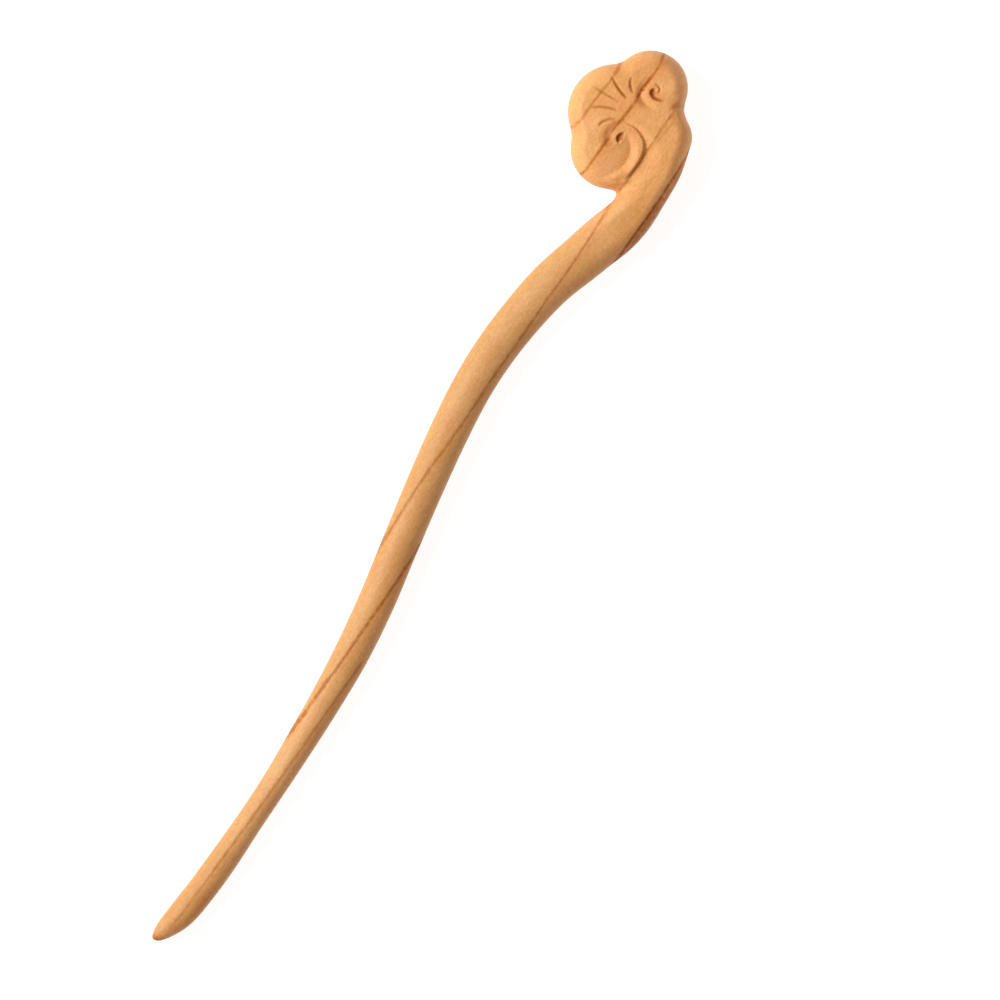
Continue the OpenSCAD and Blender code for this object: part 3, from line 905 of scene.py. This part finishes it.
def growth_lines(wood, along, ring, swell):
    """Darkness of the growth lines and of the band of painted shade among them, and of the
    late wood that leads up to each of them.
    """
    lines, late = [], []
    for dark, wide, places in GROWTH_LINES:
        start, end = places[0][0], places[-1][0]
        shown = along.rise(start - LINE_FADE, start) * along.rise(end + LINE_FADE, end)
        off = ring - wood.graph(along, places)
        line = (abs(off) / swell).rise(wide * LINE_OUTER, wide * LINE_INNER, high=dark)
        shade = off.rise(-LATE_WOOD, 0.0, high=dark) * off.rise(*LATE_END)
        lines.append(line * shown)
        late.append(shade * shown)
    return reduce(Wire.at_least, lines), reduce(Wire.at_least, late)


def wood_finish():
    """Pale oiled wood with dark growth lines, fine fibres and pores."""
    wood = Finish("oiled_pale_wood")
    at = wood.node("ShaderNodeTexCoord", out="Object")
    x, y, z = [wood.node("ShaderNodeSeparateXYZ", ins={0: at}, out=i) / MM for i in range(3)]
    along = x - y * GRAIN_TURN
    across = x * GRAIN_TURN + y + (z - HEAD_THICK / MM) * GRAIN_TILT
    through = z - y * GRAIN_TILT
    grain = {name: wood.noise((along * long + shift, across * cross, through * cross),
                              detail, rough)
             for name, (long, cross, detail, rough, shift) in GRAINS.items()}
    mark = {name: wood.node("ShaderNodeAttribute", {"attribute_name": name}, out="Fac")
            for name in MARKS}

    # The growth lines wander, swell and break up, and the late wood has more pores
    ring = (across + (grain["long_wave"] - 0.5) * LONG_WANDER
            + (grain["short_wave"] - 0.5) * SHORT_WANDER)
    swell = grain["swell"].rise(0.32, 0.68, low=0.75, high=1.25)
    lines, late = growth_lines(wood, along, ring, swell)
    lines = lines * grain["break"].rise(0.34, 0.56, low=0.62)
    pores = (grain["speck"] + late * 0.05).rise(0.70, 0.78)
    deep = mark["cut_depth"] / MM
    knife = (1.0 - abs(mark["fan_side"])).rise(0.0, 0.75) * mark["fan_force"].at_most(1.0)

    # How much there is of each tint at a place, and what it leaves of red, green and blue
    tints = [(late * 0.6, (1.00, 0.86, 0.74))]
    tints += [(grain[name].rise(start, end) * strength, tint)
              for name, start, end, strength, tint in GRAIN_TINTS]
    tints += [
        (pores * 0.25, (0.70, 0.54, 0.42)),
        (lines * 0.95, (0.52, 0.31, 0.00)),
        # Warmer and darker, and paler below zero: the wood's tone, with painted shade and
        # painted light
        (mark["warmth"] * 0.8, (0.90, 0.73, 0.56)),
        (mark["warmth"] * -1.0, (1.14, 1.20, 1.45)),
        # Darker the deeper the cut: painted shade in the hollows, with oil gathered there
        (deep.rise(0.35, 1.0) * 0.5, (0.76, 0.60, 0.30)),
        # Darker in and about the small cuts: oil and dust gathered there, and painted shade
        # where the cuts would lie in shadow
        (mark["stain"].rise(0.10, 0.8) * 0.90, (0.60, 0.38, 0.19)),
        # Dark knife cuts: painted shade in the narrow cuts, with oil gathered in them
        (knife * 0.92, (0.46, 0.26, 0.00)),
    ]
    base = wood.mix((x + y).rise(HEAD_WOOD_FROM, HEAD_WOOD_TO), SHAFT_WOOD, HEAD_WOOD)
    for amount, tint in tints:
        base = wood.mix(amount, base, (*tint, 1.0), "MULTIPLY")

    rough = grain["fibre"] * FIBRE_ROUGH + WOOD_ROUGH + lines * LINE_ROUGH
    height = (grain["fibre"] * FIBRE_HIGH + grain["mottle"] * MOTTLE_HIGH
              - pores * PORE_DEEP - lines * LINE_DEEP)
    bump = wood.node("ShaderNodeBump",
                     ins={"Strength": 1.0, "Distance": MM, "Height": height})
    shader = wood.node("ShaderNodeBsdfPrincipled",
                       ins={"Base Color": base, "Roughness": rough, "Normal": bump,
                            "IOR": 1.45, "Specular IOR Level": 0.22})
    wood.node("ShaderNodeOutputMaterial", ins={0: shader})
    return wood.material


stick.data.materials.append(wood_finish())


def table_finish():
    """Matt white paper that glows a little, which keeps the shadows on it pale."""
    paper = Finish("white_table")
    shader = paper.node("ShaderNodeBsdfPrincipled",
                        ins={"Base Color": (0.32, 0.32, 0.32, 1.0), "Roughness": 0.9,
                             "Specular IOR Level": 0.1, "Emission Color": (1, 1, 1, 1),
                             "Emission Strength": 0.87})
    paper.node("ShaderNodeOutputMaterial", ins={0: shader})
    return paper.material


TABLE_SIDE = 6.0
table_mesh = bpy.data.meshes.new("table")
half_side = TABLE_SIDE / 2
table_corners = [(x * half_side, y * half_side, 0)
                 for x, y in ((-1, -1), (1, -1), (1, 1), (-1, 1))]
table_mesh.from_pydata(table_corners, [], [(0, 1, 2, 3)])
table = bpy.data.objects.new("table", table_mesh)
table.data.materials.append(table_finish())
bpy.context.scene.collection.objects.link(table)

# The camera looks straight down
CAMERA_OVER = (7.456 * MM, -12.907 * MM)
CAMERA_TURN = -60           # degrees from the stick's length to the camera's right
VIEW_WIDE = 175.896 * MM
CAMERA_LENS = 800
CAMERA_SENSOR = 36

camera_data = bpy.data.cameras.new("camera")
camera_data.lens = CAMERA_LENS
camera_data.sensor_width = CAMERA_SENSOR
camera = bpy.data.objects.new("camera", camera_data)
camera_height = VIEW_WIDE * CAMERA_LENS / CAMERA_SENSOR + EDGE_Z
camera_right = Vector((*heading(CAMERA_TURN), 0))
camera_up = Vector((*heading(CAMERA_TURN + 90), 0))
turned = Matrix((camera_right, camera_up, camera_right.cross(camera_up))).transposed()
camera.matrix_world = (Matrix.Translation((*CAMERA_OVER, camera_height))
                       @ turned.to_4x4())
bpy.context.scene.collection.objects.link(camera)
bpy.context.scene.camera = camera


def soft_light(name, azimuth, elevation, away, side, watts, colour):
    """A square softbox that looks at the middle of the stick."""
    data = bpy.data.lights.new(name, "AREA")
    data.color = colour
    data.shape = "SQUARE"
    data.size = side
    data.energy = watts
    light = bpy.data.objects.new(name, data)
    a, e = np.radians(azimuth), np.radians(elevation)
    to_light = Vector((np.cos(a) * np.cos(e), np.sin(a) * np.cos(e), np.sin(e)))
    light.location = to_light * away
    light.rotation_mode = "QUATERNION"
    light.rotation_quaternion = to_light.to_track_quat("Z", "Y")
    light.visible_camera = False
    bpy.context.scene.collection.objects.link(light)


soft_light("key_softbox", azimuth=104, elevation=42, away=1.2, side=0.6, watts=15.5,
           colour=(0.94, 1.04, 1.10))

STUDIO_COLOUR = (1.03, 0.925, 0.89, 1.0)
STUDIO_STRENGTH = 0.37
world = bpy.data.worlds.new("studio")
world.use_nodes = True
background = world.node_tree.nodes["Background"]
background.inputs["Color"].default_value = STUDIO_COLOUR
background.inputs["Strength"].default_value = STUDIO_STRENGTH
bpy.context.scene.world = world
bpy.context.scene.view_settings.view_transform = "Standard"
